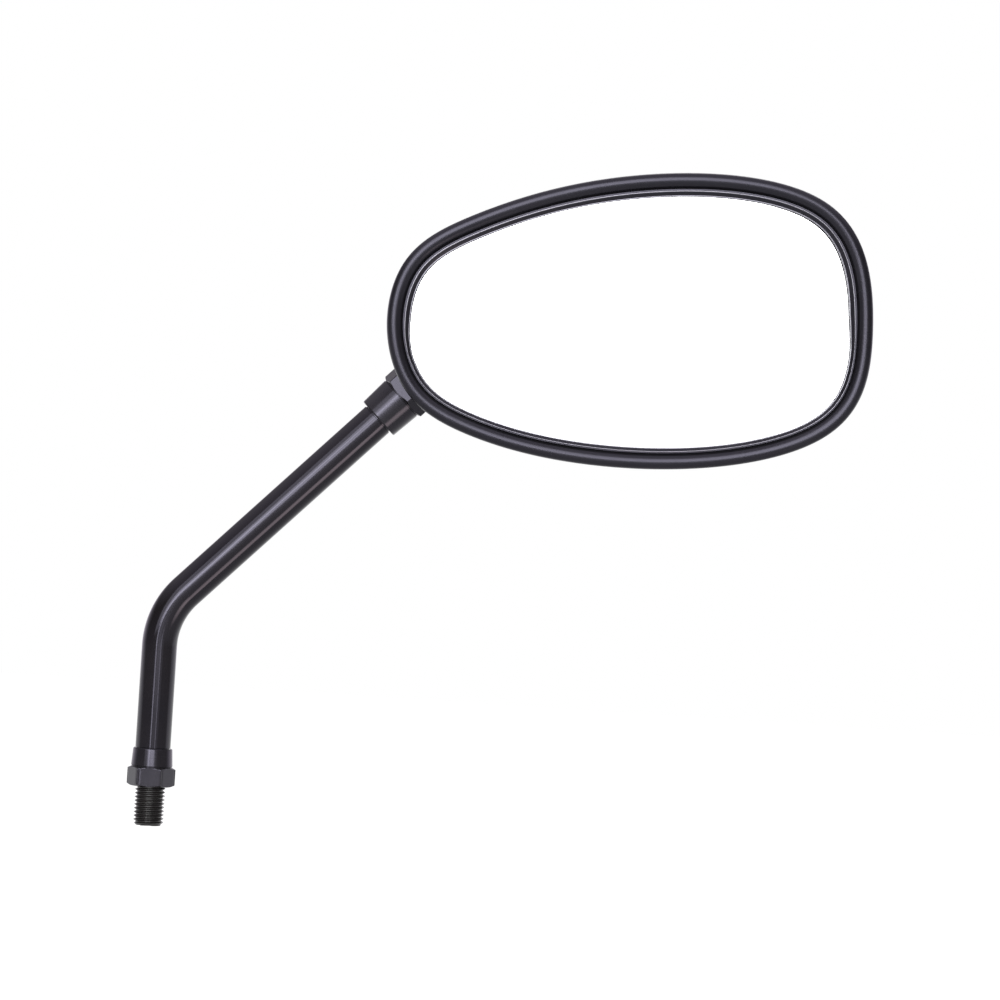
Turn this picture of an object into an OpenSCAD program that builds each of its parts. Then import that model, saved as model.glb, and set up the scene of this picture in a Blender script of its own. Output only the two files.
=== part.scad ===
// Motorcycle mirror: bent rod stem, two skirted lock nuts, and an oval head on a ball joint.
// The stud axis is Z, its seat is z = 0, the stem lies in the plane y = 0, and the glass faces -Y.

/* [Stem] */
// Diameter of the rod
rod_d = 11.7; // [10.8:0.1:12.2]
// Height of the bend's corner above the seat
bend_height = 57.6; // [50:0.5:90]
// Angle between the stud axis and the upper part of the rod
bend_angle = 44.4; // [30:0.2:55]
// Radius of the bend, at the middle of the rod
bend_r = 26.5; // [20:0.5:40]
// Distance from the bend's corner to the end of the rod
rod_reach = 106.4; // [90:0.2:140]

/* [Stud thread] */
// Outer diameter of the thread at the foot
stud_d = 10; // [8:0.5:10]
// Length of the thread below the seat
stud_len = 13; // [10:0.5:30]
// Chamfer at the end of the thread
stud_chamfer = 0.9; // [0.4:0.1:1.2]
// Diameter at which the stud's thread and the base lock nut's thread meet
mesh_d = 9.2; // [7.2:0.1:9.3]

/* [Base lock nut] */
// Distance across the flats
base_af = 14; // [14:0.5:17]
// Height of the hexagon
base_hex_h = 6.5; // [5:0.25:9]
// Length of the skirt
base_skirt_len = 6.2; // [4:0.2:10]
// Diameter of the skirt at its open end
base_skirt_tip_d = 13.1; // [12.9:0.1:13.3]
// Diameter of the skirt where it meets the hexagon
base_skirt_root_d = 13.8; // [13.4:0.1:13.8]
// Turn of the hexagon about its axis
base_turn = 55; // [0:1:60]

/* [Upper lock nut] */
// Distance across the flats
upper_af = 16; // [16:0.5:17]
// Height of the hexagon
upper_hex_h = 7; // [5:0.25:7.5]
// Length of the skirt
upper_skirt_len = 10.1; // [7:0.2:14]
// Diameter of the skirt at its open end
upper_skirt_tip_d = 14.5; // [13.8:0.1:15]
// Diameter of the skirt where it meets the hexagon
upper_skirt_root_d = 15.8; // [15.4:0.1:15.8]
// Turn of the hexagon about its axis
upper_turn = 14; // [0:1:60]

/* [Nuts] */
// Bevel of the hexagons, across the corners
hex_bevel = 0.9; // [0.4:0.1:1.2]
// Depth of the skirt's recess below the face of the hexagon
recess_step = 0.6; // [0.2:0.1:1.5]

/* [Ball joint] */
// Diameter of the ball
ball_d = 14; // [12:0.5:14.5]
// Diameter of the neck behind the ball
neck_d = 6; // [5:0.25:6.5]
// Diameter of the ball stud's thread
shank_d = 8; // [7:0.25:8.2]
// Length of that thread inside the rod
shank_grip = 20; // [12:1:30]
// Wall of the nylon cup
liner_wall = 1.55; // [1.2:0.05:1.7]
// Distance from the face of the upper nut to the middle of the ball
ball_gap = 17.4; // [17:0.2:20]
// Angle that the neck is free to swing to any side
swing = 15; // [12:0.5:15.5]

/* [Head] */
// Width of the head
head_w = 159.3; // [150:0.1:185]
// Height of the head
head_h = 97.1; // [92:0.1:115]
// Distance from the near end of the head to the ball
ball_inset = 22.5; // [20:0.1:26]
// Distance from the ball to the middle of the head, upwards
head_up = 8.3; // [4:0.1:12]
// Roll of the head about the rider's line of sight
head_roll = 3.7; // [0:0.1:8]
// Distance from the stem's plane to the front of the bezel
head_front = 25; // [24.5:0.5:30]

/* [Bezel] */
// Depth of the bezel
bezel_depth = 7; // [6.8:0.1:8]
// Diameter of the round bead
bead_d = 5.2; // [4.4:0.1:5.4]
// Width of the groove between bead and lip
groove_w = 0.5; // [0.3:0.1:0.8]
// Depth of the groove below the lip's crest
groove_depth = 0.7; // [0.4:0.1:0.9]
// Width of the lip's round crest
lip_w = 1; // [0.8:0.1:1.4]
// Distance of the lip's crest behind the front of the bead
lip_setback = 0.7; // [0.4:0.1:0.9]
// Width of the slope from the crest to the glass
lip_slope_w = 0.9; // [0.6:0.1:1.2]
// Drop of that slope
lip_slope_h = 0.8; // [0.5:0.1:0.9]

/* [Glass] */
// Radius of the convex mirror
glass_r = 1400; // [1200:50:2000]
// Thickness of the glass
glass_t = 1.8; // [1.6:0.1:1.8]
// Distance from the outside of the head to the edge of the glass
glass_inset = 5.7; // [5.6:0.1:6]
// Thickness of the backing plate
plate_t = 1.5; // [1.2:0.1:1.6]
// Distance from the outside of the head to the edge of the backing plate
plate_inset = 3; // [2.8:0.1:3.4]
// Diameter of the lightening holes in the backing plate
plate_hole_d = 14; // [10:1:18]

/* [Housing] */
// Depth of the back shell behind the bezel
dome_depth = 37; // [35:0.5:42]
// Wall of the shell
wall = 2.4; // [2:0.1:2.8]
// Fullness of the shell's section, 2 is an ellipse
dome_power = 2.8; // [2.4:0.1:3.4]
// Distance of the deepest point from the middle of the head, towards the ball
peak_shift = 18; // [10:1:26]
// Step of the shell inside the bezel's edge
rim_step = 0.4; // [0.2:0.1:0.8]
// Width of the rim that the backing plate lies on
ledge_w = 4.6; // [4:0.2:6]
// Thickness of that rim
ledge_t = 2; // [1.6:0.1:2]
// Thickness of the ribs
rib_t = 1.6; // [1.2:0.1:2.4]
// Length of the ribs from the ball outwards
rib_len = 62; // [40:2:80]

/* [Clamp] */
// Thickness of the clamp plate
clamp_t = 2; // [1.5:0.1:2.5]
// Distance from the middle of the ball to the seats' edges
seat_edge = 5.6; // [5.4:0.1:6]
// Distance from the middle of the ball to each screw
screw_ring = 13.5; // [13:0.25:15]
// Angle between the far screw and each near one
screw_spread = 73; // [66:1:80]
// Diameter of the clamp screws
screw_d = 4; // [3.5:0.1:4.2]
// Diameter of the screws' heads
screw_head_d = 7; // [6.5:0.1:7.6]
// Height of the screws' heads
screw_head_h = 2.4; // [2:0.1:2.8]
// Length of the screws' threads in the housing
screw_grip = 9; // [6:0.5:10]
// Outer diameter of the bosses
boss_d = 8.4; // [8:0.2:9]
// Thickness of the flat washers
flat_washer_t = 0.8; // [0.5:0.1:1]
// Outer diameter of the flat washers
flat_washer_d = 9; // [8:0.2:9.4]
// Thickness of the spring washers
spring_washer_t = 1; // [0.8:0.1:1.2]
// Outer diameter of the spring washers
spring_washer_d = 7.2; // [6.8:0.1:7.6]

/* [Clearances] */
// Radial play of the threads and of the ball in its cups
fit = 0.05; // [0.03:0.01:0.08]
// Radial gap between a skirt and the rod
skirt_gap = 0.2; // [0.15:0.05:0.3]
// Gap between faces that don't press on each other
gap = 0.2; // [0.1:0.05:0.3]

/* [Hidden] */

$fn = 96;
// Overlap of a cut past the face that it opens
cut = 1;

// Points of the closed spline that the head's outline follows, from its middle, seen by the rider
outline_points = [
    [81.5, -4.5], [76, 47], [-4, 51], [-55, 34.5],
    [-81.5, 19.5], [-81, -34], [1, -53], [74, -43]
];
// Steps of the spline between two of its points
outline_steps = 10;
// Steps of the round bead, of the lip and of the shell's section
bead_steps = 12;
lip_steps = 5;
dome_steps = 12;
// Angle at which the shell's section ends in its flat middle
dome_top = 87;
// Radial steps of the convex glass
lens_steps = 12;
// Thickness of the lip's edge, above the glass
lip_edge_t = 0.7;
// Depth of the rod's hole below the ball stud's thread
hole_run_out = 2;
// Extra opening of the nylon cup, in degrees
mouth_play = 2;
// Room left round the upper nut at the full swing, and the pocket's flare, length and wall
pocket_play = 0.5;
pocket_flare = 15;
pocket_len = 60;
pocket_wall = 2.2;
// Wall of the boss behind the ball, and how far the ribs' fronts lie inside its edge
seat_boss_wall = 2.6;
rib_rise = 2;
// Turns of the ribs about the ball, from the upper rod's axis
rib_angles = [0, 32, 64];
// Distance of the screw bosses' faces behind the clamp plate
boss_drop = 1;
// Width of the clamp plate's rim round each flat washer
washer_rim = 0.3;
// Distance of the foam pad's edge inside the edge of the glass
pad_inset = 14;

// Stem: the tangent length takes up the bend's turn on both sides of its corner
bend_tangent = bend_r * tan(bend_angle / 2);
rod_start = base_hex_h + recess_step + gap;
hole_depth = shank_grip + hole_run_out;
nut_base_t = rod_reach + gap + recess_step;
ball_reach = nut_base_t + upper_hex_h + ball_gap;
ball_x = ball_reach * sin(bend_angle);
ball_z = bend_height + ball_reach * cos(bend_angle);

// Ball joint
ball_r = ball_d / 2;
liner_in_r = ball_r + fit;
liner_out_r = liner_in_r + liner_wall;
seat_r = liner_out_r + fit;
neck_room_r = neck_d / 2 + gap;
liner_mouth = asin(neck_d / ball_d) + swing + mouth_play;

// Pocket that keeps the head clear of the upper nut at the full swing
nut_corner_r = upper_af / 2 / cos(30);
pocket_floor = ball_gap * cos(swing) - nut_corner_r * sin(swing) - pocket_play;
pocket_r = nut_corner_r * cos(swing) + ball_gap * sin(swing) + pocket_play;

// Middle of the head, outboard of the ball
head_out = head_w / 2 - ball_inset;

// Planes of the head, as distances along Y
front_y = -head_front;
rim_y = front_y + bezel_depth;
plate_y = rim_y - plate_t;
lip_crest_y = front_y + lip_setback;
lip_edge_y = lip_crest_y + lip_slope_h;
lip_under_y = lip_edge_y + lip_edge_t;
inner_wall_inset = glass_inset - gap;
lip_start = bead_d + groove_w;
lip_end = lip_start + lip_w;

// Convex glass: its top and bottom edges lie just behind the lip
glass_edge_sag = pow(head_h / 2 - glass_inset, 2) / (2 * glass_r);
glass_front_y = lip_under_y + gap / 2 - glass_edge_sag;
glass_back_y = glass_front_y + glass_t;
lens_r = head_w / 2 + head_h / 4;

// Clamp
clamp_face_y = -seat_edge - clamp_t;
washer_face_y = clamp_face_y - flat_washer_t;
head_face_y = washer_face_y - spring_washer_t;
boss_face_y = -seat_edge + boss_drop;
screw_angles = [0, screw_spread, -screw_spread];

// A point of the closed cubic spline between control points i + 1 and i + 2
function spline_point(p, i, t) =
    let(n = len(p), a = p[i % n], b = p[(i + 1) % n], c = p[(i + 2) % n], d = p[(i + 3) % n])
    (pow(1 - t, 3) * a + (3 * pow(t, 3) - 6 * t * t + 4) * b
     + (-3 * pow(t, 3) + 3 * t * t + 3 * t + 1) * c + pow(t, 3) * d) / 6;

raw_outline = [
    for (i = [0 : len(outline_points) - 1]) for (k = [0 : outline_steps - 1])
        spline_point(outline_points, i, k / outline_steps)
];
raw_x = [for (p = raw_outline) p[0]];
raw_z = [for (p = raw_outline) p[1]];
raw_mid = [(max(raw_x) + min(raw_x)) / 2, (max(raw_z) + min(raw_z)) / 2];
raw_size = [max(raw_x) - min(raw_x), max(raw_z) - min(raw_z)];

// The head's outline about its middle, stretched to its width and height
outline = [
    for (p = raw_outline)
        [(p[0] - raw_mid[0]) * head_w / raw_size[0], (p[1] - raw_mid[1]) * head_h / raw_size[1]]
];
stations = len(outline);

// Outward normal of the outline at a station
function outline_normal(i) =
    let(d = outline[(i + 1) % stations] - outline[(i + stations - 1) % stations])
    [d[1], -d[0]] / norm(d);

// The outline drawn in by a distance
function inset_outline(inset) = [for (i = [0 : stations - 1]) outline[i] - outline_normal(i) * inset];

// Ring of the shell: an outline shrunk towards the deepest point, at a depth
function dome_ring(ring, scale, y) = [
    for (p = ring) let(q = [-peak_shift, 0] + (p + [peak_shift, 0]) * scale) [q[0], y, q[1]]
];

// Rings of a shell from its rim to its flat middle
function dome_rings(inset, start_y, end_y) = [
    for (k = [0 : dome_steps])
        let(a = dome_top * k / dome_steps)
        dome_ring(inset_outline(inset), pow(cos(a), 2 / dome_power), start_y + (end_y - start_y) * sin(a))
];

// Closed solid through rings of equal length, capped at both ends
module loft(rings) {
    n = len(rings[0]);
    m = len(rings);
    polyhedron(
        points = [for (ring = rings) for (p = ring) p],
        faces = concat(
            [[for (i = [n - 1 : -1 : 0]) i]],
            [for (k = [0 : m - 2]) for (i = [0 : n - 1])
                [k * n + i, k * n + (i + 1) % n, (k + 1) * n + (i + 1) % n, (k + 1) * n + i]],
            [[for (i = [0 : n - 1]) (m - 1) * n + i]]
        )
    );
}

// Closed ring that carries a profile of [inset, y] points round the outline
module outline_sweep(profile) {
    m = len(profile);
    polyhedron(
        points = [
            for (i = [0 : stations - 1]) for (q = profile)
                let(p = outline[i] - outline_normal(i) * q[0]) [p[0], q[1], p[1]]
        ],
        faces = [
            for (i = [0 : stations - 1]) for (k = [0 : m - 1])
                let(j = (i + 1) % stations, l = (k + 1) % m)
                [i * m + k, i * m + l, j * m + l, j * m + k]
        ]
    );
}

// Places its children at the head's middle, turned with the head
module at_head() {
    translate([ball_x, 0, ball_z]) rotate([0, -head_roll, 0]) translate([head_out, 0, head_up]) children();
}

// Places its children at the ball, with Z along the upper rod and away from it
module at_ball() {
    translate([ball_x, 0, ball_z]) rotate([0, bend_angle, 0]) children();
}

// Places its children on the upper rod's axis, at a distance from the bend's corner
module on_rod(t) {
    translate([0, 0, bend_height]) rotate([0, bend_angle, 0]) translate([0, 0, t]) children();
}

// Straight slab of the head's outline between two planes
module outline_slab(inset, y0, y1) {
    translate([0, y1, 0]) rotate([90, 0, 0]) linear_extrude(y1 - y0) polygon(inset_outline(inset));
}

// Hexagon whose corners are bevelled at both ends by cones that rise half as much as they widen
module hex_block(af, h) {
    corner_r = af / 2 / cos(30);
    face_r = corner_r - hex_bevel;
    intersection() {
        cylinder(h = h, r = corner_r, $fn = 6);
        cylinder(h = h, r1 = face_r, r2 = face_r + 2 * h);
        cylinder(h = h, r1 = face_r + 2 * h, r2 = face_r);
    }
}

// Lock nut with its outer face at z = 0 and its skirt above the hexagon
module skirted_nut(af, hex_h, skirt_len, tip_d, root_d, bore_d, turn) {
    difference() {
        union() {
            rotate(turn) hex_block(af, hex_h);
            translate([0, 0, hex_h]) cylinder(h = skirt_len, d1 = root_d, d2 = tip_d);
        }
        translate([0, 0, -cut]) cylinder(h = hex_h + skirt_len + 2 * cut, d = bore_d + 2 * fit);
        translate([0, 0, hex_h + recess_step]) cylinder(h = skirt_len, d = rod_d + 2 * skirt_gap);
    }
}

module stem() {
    color([0.09, 0.08, 0.08]) {
        difference() {
            union() {
                translate([0, 0, rod_start])
                    cylinder(h = bend_height - bend_tangent - rod_start, d = rod_d);
                translate([bend_r, 0, bend_height - bend_tangent]) rotate([90, 0, 0]) rotate(180 - bend_angle) {
                    rotate_extrude(angle = bend_angle) translate([bend_r, 0]) circle(d = rod_d);
                    translate([bend_r, 0, 0]) rotate([90, 0, 0]) cylinder(h = rod_reach - bend_tangent, d = rod_d);
                }
            }
            on_rod(rod_reach - hole_depth) cylinder(h = hole_depth + cut, d = shank_d + 2 * fit);
        }
        cylinder(h = rod_start, d = mesh_d);
        translate([0, 0, stud_chamfer - stud_len]) cylinder(h = stud_len - stud_chamfer, d = stud_d);
        translate([0, 0, -stud_len]) cylinder(h = stud_chamfer, d1 = stud_d - 2 * stud_chamfer, d2 = stud_d);
    }
}

module base_lock_nut() {
    color([0.2, 0.2, 0.22])
        skirted_nut(base_af, base_hex_h, base_skirt_len, base_skirt_tip_d, base_skirt_root_d, mesh_d, base_turn);
}

module upper_lock_nut() {
    color([0.2, 0.2, 0.22]) on_rod(nut_base_t + upper_hex_h) rotate([180, 0, 0])
        skirted_nut(upper_af, upper_hex_h, upper_skirt_len, upper_skirt_tip_d, upper_skirt_root_d, shank_d, upper_turn);
}

module ball_stud() {
    neck_taper = (shank_d - neck_d) / 2;
    shank_top = ball_reach - ball_gap + neck_taper;
    color([0.55, 0.55, 0.56]) {
        on_rod(ball_reach) sphere(d = ball_d);
        on_rod(shank_top + neck_taper) cylinder(h = ball_reach - shank_top - neck_taper, d = neck_d);
        on_rod(shank_top) cylinder(h = neck_taper, d1 = shank_d, d2 = neck_d);
        on_rod(rod_reach - shank_grip) cylinder(h = shank_top - rod_reach + shank_grip, d = shank_d);
    }
}

// Room for the neck at any swing, as a cone from the ball towards the rod
module neck_room(len) {
    at_ball() rotate([180, 0, 0]) cylinder(h = len, r1 = neck_room_r, r2 = neck_room_r + len * tan(swing));
}

module ball_liner() {
    mouth_len = ball_d;
    color([0.86, 0.85, 0.8]) difference() {
        at_ball() sphere(r = liner_out_r);
        at_ball() sphere(r = liner_in_r);
        at_ball() rotate([180, 0, 0]) cylinder(h = mouth_len, r1 = 0, r2 = mouth_len * tan(liner_mouth));
    }
}

// Flared pocket round the upper nut; grow adds a wall on its inside
module nut_pocket(grow) {
    limit = 4 * pocket_len;
    intersection() {
        at_ball() rotate([180, 0, 0]) translate([0, 0, pocket_floor - grow])
            cylinder(h = pocket_len, r1 = pocket_r + grow,
                     r2 = pocket_r + grow + pocket_len * tan(pocket_flare));
        translate([ball_x - limit / 2, rim_y + ledge_t - grow, ball_z - limit / 2]) cube(limit);
    }
}

// Places its children at each clamp screw, with Z forwards out of the head
module at_screw(i) {
    at_ball() rotate([0, screw_angles[i], 0]) translate([0, 0, screw_ring]) rotate([90, 0, 0]) children();
}

module housing() {
    rib_front_y = seat_edge - rib_rise;
    reach = 2 * dome_depth;
    color([0.1, 0.1, 0.11]) difference() {
        at_head() loft(dome_rings(rim_step, rim_y, rim_y + dome_depth));
        difference() {
            at_head() {
                loft(dome_rings(rim_step + wall, rim_y + ledge_t, rim_y + dome_depth - wall));
                outline_slab(rim_step + ledge_w, rim_y - cut, rim_y + ledge_t + cut / 2);
            }
            nut_pocket(pocket_wall);
            at_ball() translate([0, seat_edge, 0]) rotate([-90, 0, 0]) cylinder(h = reach, r = seat_r + seat_boss_wall);
            for (i = [0 : 2]) at_screw(i) translate([0, 0, -boss_face_y - reach]) cylinder(h = reach, d = boss_d);
            for (a = rib_angles) at_ball() rotate([0, a, 0])
                translate([-rib_t / 2, rib_front_y, 0]) cube([rib_t, reach, rib_len]);
        }
        nut_pocket(0);
        neck_room(pocket_floor + cut);
        at_ball() sphere(r = seat_r);
        for (i = [0 : 2]) at_screw(i) translate([0, 0, -boss_face_y - screw_grip - cut])
            cylinder(h = screw_grip + 2 * cut, d = screw_d + 2 * fit);
    }
}

// Section of the bezel, as [inset from the outside, y]
function bezel_profile() = concat(
    [[0, rim_y]],
    [for (k = [0 : bead_steps - 1]) let(a = 180 - 165 * k / (bead_steps - 1))
        [bead_d / 2 + bead_d / 2 * cos(a), front_y + bead_d / 2 - bead_d / 2 * sin(a)]],
    [[bead_d + groove_w / 4, lip_crest_y + groove_depth], [lip_start, lip_crest_y + groove_depth]],
    [for (k = [0 : lip_steps - 1]) let(a = 180 - 180 * k / (lip_steps - 1))
        [lip_start + lip_w / 2 + lip_w / 2 * cos(a), lip_crest_y + lip_w / 4 - lip_w / 4 * sin(a)]],
    [[lip_end + lip_slope_w, lip_edge_y], [lip_end + lip_slope_w, lip_under_y],
     [inner_wall_inset, lip_under_y], [inner_wall_inset, plate_y - gap / 2],
     [plate_inset - gap, plate_y - gap / 2], [plate_inset - gap, rim_y]]
);

module bezel() {
    color([0.12, 0.12, 0.13]) at_head() outline_sweep(bezel_profile());
}

// Convex disc: its front follows the mirror's radius from front_y, and its back lies behind by thickness
module lens(front_y, thickness, flat_back) {
    r = [for (k = [0 : lens_steps]) lens_r * k / lens_steps];
    front = [for (v = r) [v, -(front_y + v * v / (2 * glass_r))]];
    back = flat_back
        ? [[lens_r, -(front_y + thickness)], [0, -(front_y + thickness)]]
        : [for (k = [lens_steps : -1 : 0]) [r[k], -(front_y + thickness + r[k] * r[k] / (2 * glass_r))]];
    rotate([90, 0, 0]) rotate_extrude() polygon(concat(front, back));
}

module mirror_glass() {
    color([0.85, 0.88, 0.9]) at_head() intersection() {
        lens(glass_front_y, glass_t, false);
        outline_slab(glass_inset, front_y - cut, rim_y + cut);
    }
}

module glass_pad() {
    pad_front_y = glass_back_y + gap / 4;
    color([0.25, 0.25, 0.26]) at_head() intersection() {
        lens(pad_front_y, plate_y - pad_front_y, true);
        outline_slab(glass_inset + pad_inset, front_y - cut, rim_y + cut);
    }
}

module backing_plate() {
    hole_pitch = 2 * plate_hole_d;
    color([0.14, 0.14, 0.15]) at_head() difference() {
        outline_slab(plate_inset, plate_y, rim_y);
        for (x = [-1 : 1], z = [-0.5, 0.5]) translate([x * hole_pitch, rim_y + cut, z * hole_pitch])
            rotate([90, 0, 0]) cylinder(h = plate_t + 2 * cut, d = plate_hole_d);
    }
}

// Places its children at the ball, with Z forwards out of the head
module before_ball() {
    at_ball() rotate([90, 0, 0]) children();
}

module clamp_plate() {
    color([0.6, 0.6, 0.58]) difference() {
        union() {
            before_ball() translate([0, 0, seat_edge]) cylinder(h = clamp_t, r = seat_r);
            for (i = [0 : 2]) {
                at_screw(i) translate([0, 0, seat_edge]) cylinder(h = clamp_t, d = flat_washer_d + 2 * washer_rim);
                at_ball() rotate([0, screw_angles[i], 0])
                    translate([-flat_washer_d / 2, clamp_face_y, 0]) cube([flat_washer_d, clamp_t, screw_ring]);
            }
        }
        before_ball() sphere(r = seat_r);
        for (i = [0 : 2]) at_screw(i) translate([0, 0, seat_edge - cut])
            cylinder(h = clamp_t + 2 * cut, d = screw_d + 2 * gap);
    }
}

module clamp_screw(i) {
    slot_w = 1;
    slot_len = 4;
    slot_depth = 1.4;
    shank = -head_face_y - (-boss_face_y - screw_grip);
    color([0.5, 0.5, 0.5]) at_screw(i) difference() {
        union() {
            translate([0, 0, -head_face_y]) cylinder(h = screw_head_h, d = screw_head_d);
            translate([0, 0, -head_face_y - shank]) cylinder(h = shank, d = screw_d);
        }
        for (a = [0, 90]) rotate(a)
            translate([-slot_len / 2, -slot_w / 2, -head_face_y + screw_head_h - slot_depth])
                cube([slot_len, slot_w, slot_depth + cut]);
    }
}

module spring_washer(i) {
    split_w = 0.8;
    color([0.45, 0.45, 0.46]) at_screw(i) translate([0, 0, -washer_face_y]) difference() {
        cylinder(h = spring_washer_t, d = spring_washer_d);
        translate([0, 0, -cut]) cylinder(h = spring_washer_t + 2 * cut, d = screw_d + 2 * gap);
        translate([0, -split_w / 2, -cut]) cube([spring_washer_d, split_w, spring_washer_t + 2 * cut]);
    }
}

module flat_washer(i) {
    color([0.65, 0.65, 0.64]) at_screw(i) translate([0, 0, -clamp_face_y]) difference() {
        cylinder(h = flat_washer_t, d = flat_washer_d);
        translate([0, 0, -cut]) cylinder(h = flat_washer_t + 2 * cut, d = screw_d + 2 * gap);
    }
}

stem();
base_lock_nut();
upper_lock_nut();
ball_stud();
ball_liner();
housing();
bezel();
mirror_glass();
glass_pad();
backing_plate();
clamp_plate();
clamp_screw(0);  // clamp_screw_1
clamp_screw(1);  // clamp_screw_2
clamp_screw(2);  // clamp_screw_3
spring_washer(0);  // spring_washer_1
spring_washer(1);  // spring_washer_2
spring_washer(2);  // spring_washer_3
flat_washer(0);  // flat_washer_1
flat_washer(1);  // flat_washer_2
flat_washer(2);  // flat_washer_3
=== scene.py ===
"""Motorcycle mirror: smooth rod, thread, nuts, bezel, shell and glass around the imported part."""
import math

import bmesh
import bpy
from mathutils import Matrix, Vector
from mathutils.kdtree import KDTree


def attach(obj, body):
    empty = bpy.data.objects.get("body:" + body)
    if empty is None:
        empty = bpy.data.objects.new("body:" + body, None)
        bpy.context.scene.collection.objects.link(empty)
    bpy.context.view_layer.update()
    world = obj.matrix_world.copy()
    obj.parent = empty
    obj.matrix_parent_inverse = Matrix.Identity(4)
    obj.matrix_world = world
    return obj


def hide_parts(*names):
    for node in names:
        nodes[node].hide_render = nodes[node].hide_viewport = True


MM = 0.001
TURN = 2 * math.pi

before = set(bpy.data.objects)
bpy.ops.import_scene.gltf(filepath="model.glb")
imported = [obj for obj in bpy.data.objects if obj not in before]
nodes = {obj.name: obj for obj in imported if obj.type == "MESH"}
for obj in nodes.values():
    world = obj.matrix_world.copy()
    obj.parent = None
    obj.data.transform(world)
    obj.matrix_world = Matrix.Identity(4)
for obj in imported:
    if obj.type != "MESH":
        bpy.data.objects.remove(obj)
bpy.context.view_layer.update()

# Stem, as in the part's source, in millimetres
ROD_R = 5.85
BEND_HEIGHT = 57.6
BEND_ANGLE = math.radians(44.4)
BEND_R = 26.5
ROD_REACH = 106.4
BORE_R = 4.05
BORE_DEPTH = 22
NECK_Z = 7.3
STUD_R = 5
MESH_R = 4.6
STUD_LEN = 13
STUD_CHAMFER = 0.9
THREAD_PITCH = 1.25
THREAD_DEPTH = 0.72

# Ball joint
BALL_REACH = 131.6
BALL = Vector((BALL_REACH * math.sin(BEND_ANGLE), 0, BEND_HEIGHT + BALL_REACH * math.cos(BEND_ANGLE)))
NECK_ROOM_R = 3.2
SWING = math.radians(15)
POCKET_FLOOR = 13.9
POCKET_R = 13.93
POCKET_FLARE = math.radians(15)
POCKET_LEN = 60
POCKET_WALL = 2.2

# Head
HEAD_ROLL = math.radians(3.7)
BALL_INSET = 22.5
HEAD_UP = 8.3
HEAD_W = 159.3
HEAD_H = 97.1
FRONT_Y = -25
RIM_Y = -18
OUTLINE_POINTS = [
    (81.5, -4.5), (76, 47), (-4, 51), (-55, 34.5),
    (-81.5, 19.5), (-81, -34), (1, -53), (74, -43),
]
OUTLINE_STEPS = 28
# A local bulge of the outline by the stem: where it is, how wide and how high
CORNER_AT = math.radians(201)
CORNER_SPAN = math.radians(11)
CORNER_FULL = 0.9

HEAD_OUT = HEAD_W / 2 - BALL_INSET
AT_BALL = Matrix.Translation(BALL) @ Matrix.Rotation(BEND_ANGLE, 4, "Y")
AT_HEAD = (
    Matrix.Translation(BALL)
    @ Matrix.Rotation(-HEAD_ROLL, 4, "Y")
    @ Matrix.Translation((HEAD_OUT, 0, HEAD_UP))
)
ON_ROD = Matrix.Translation((0, 0, BEND_HEIGHT)) @ Matrix.Rotation(BEND_ANGLE, 4, "Y")


# Outline of the head

def spline_point(i, t):
    """Point of the closed cubic spline through the outline's control points."""
    a, b, c, d = (Vector(OUTLINE_POINTS[(i + k) % len(OUTLINE_POINTS)]) for k in range(4))
    return (
        (1 - t) ** 3 * a
        + (3 * t ** 3 - 6 * t * t + 4) * b
        + (-3 * t ** 3 + 3 * t * t + 3 * t + 1) * c
        + t ** 3 * d
    ) / 6


def head_outline():
    """The head's outline about its middle, stretched to its width and height."""
    raw = [
        spline_point(i, k / OUTLINE_STEPS)
        for i in range(len(OUTLINE_POINTS))
        for k in range(OUTLINE_STEPS)
    ]
    xs = [p.x for p in raw]
    zs = [p.y for p in raw]
    mid = Vector(((max(xs) + min(xs)) / 2, (max(zs) + min(zs)) / 2))
    wide = HEAD_W / (max(xs) - min(xs))
    high = HEAD_H / (max(zs) - min(zs))
    ring = [Vector(((p.x - mid.x) * wide, (p.y - mid.y) * high)) for p in raw]
    return [p * (1 + fuller_corner(p) / p.length) for p in ring]


def fuller_corner(p):
    """How much further out the corner by the stem lies than the spline."""
    off = math.atan2(p.y, p.x) % TURN - CORNER_AT
    return CORNER_FULL * math.exp(-(off / CORNER_SPAN) ** 2)


OUTLINE = head_outline()
OUTWARD = []
for before, after in zip([OUTLINE[-1]] + OUTLINE[:-1], OUTLINE[1:] + OUTLINE[:1]):
    along = (after - before).normalized()
    OUTWARD.append(Vector((along.y, -along.x)))


def inset_outline(inset):
    """The outline drawn in by a distance along its normals."""
    return [p - n * inset for p, n in zip(OUTLINE, OUTWARD)]


def head_ring(ring, y):
    """Points of a ring in the head's own frame, at a depth, as points of the part in metres."""
    return [(AT_HEAD @ Vector((p.x, y, p.y))) * MM for p in ring]


def round_ring(place, radius, z, steps):
    """Circle about a frame's Z axis, in metres."""
    turns = [TURN * k / steps for k in range(steps)]
    return [(place @ Vector((radius * math.cos(a), radius * math.sin(a), z))) * MM for a in turns]


# Modelling

def select_only(ob):
    bpy.ops.object.select_all(action="DESELECT")
    ob.select_set(True)
    bpy.context.view_layer.objects.active = ob


def apply_all(ob):
    """Applies every modifier of a piece."""
    select_only(ob)
    for mod in list(ob.modifiers):
        bpy.ops.object.modifier_apply(modifier=mod.name)


# Points of a closed loft that are this close are joined
LOFT_MERGE = 0.002 * MM


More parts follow.
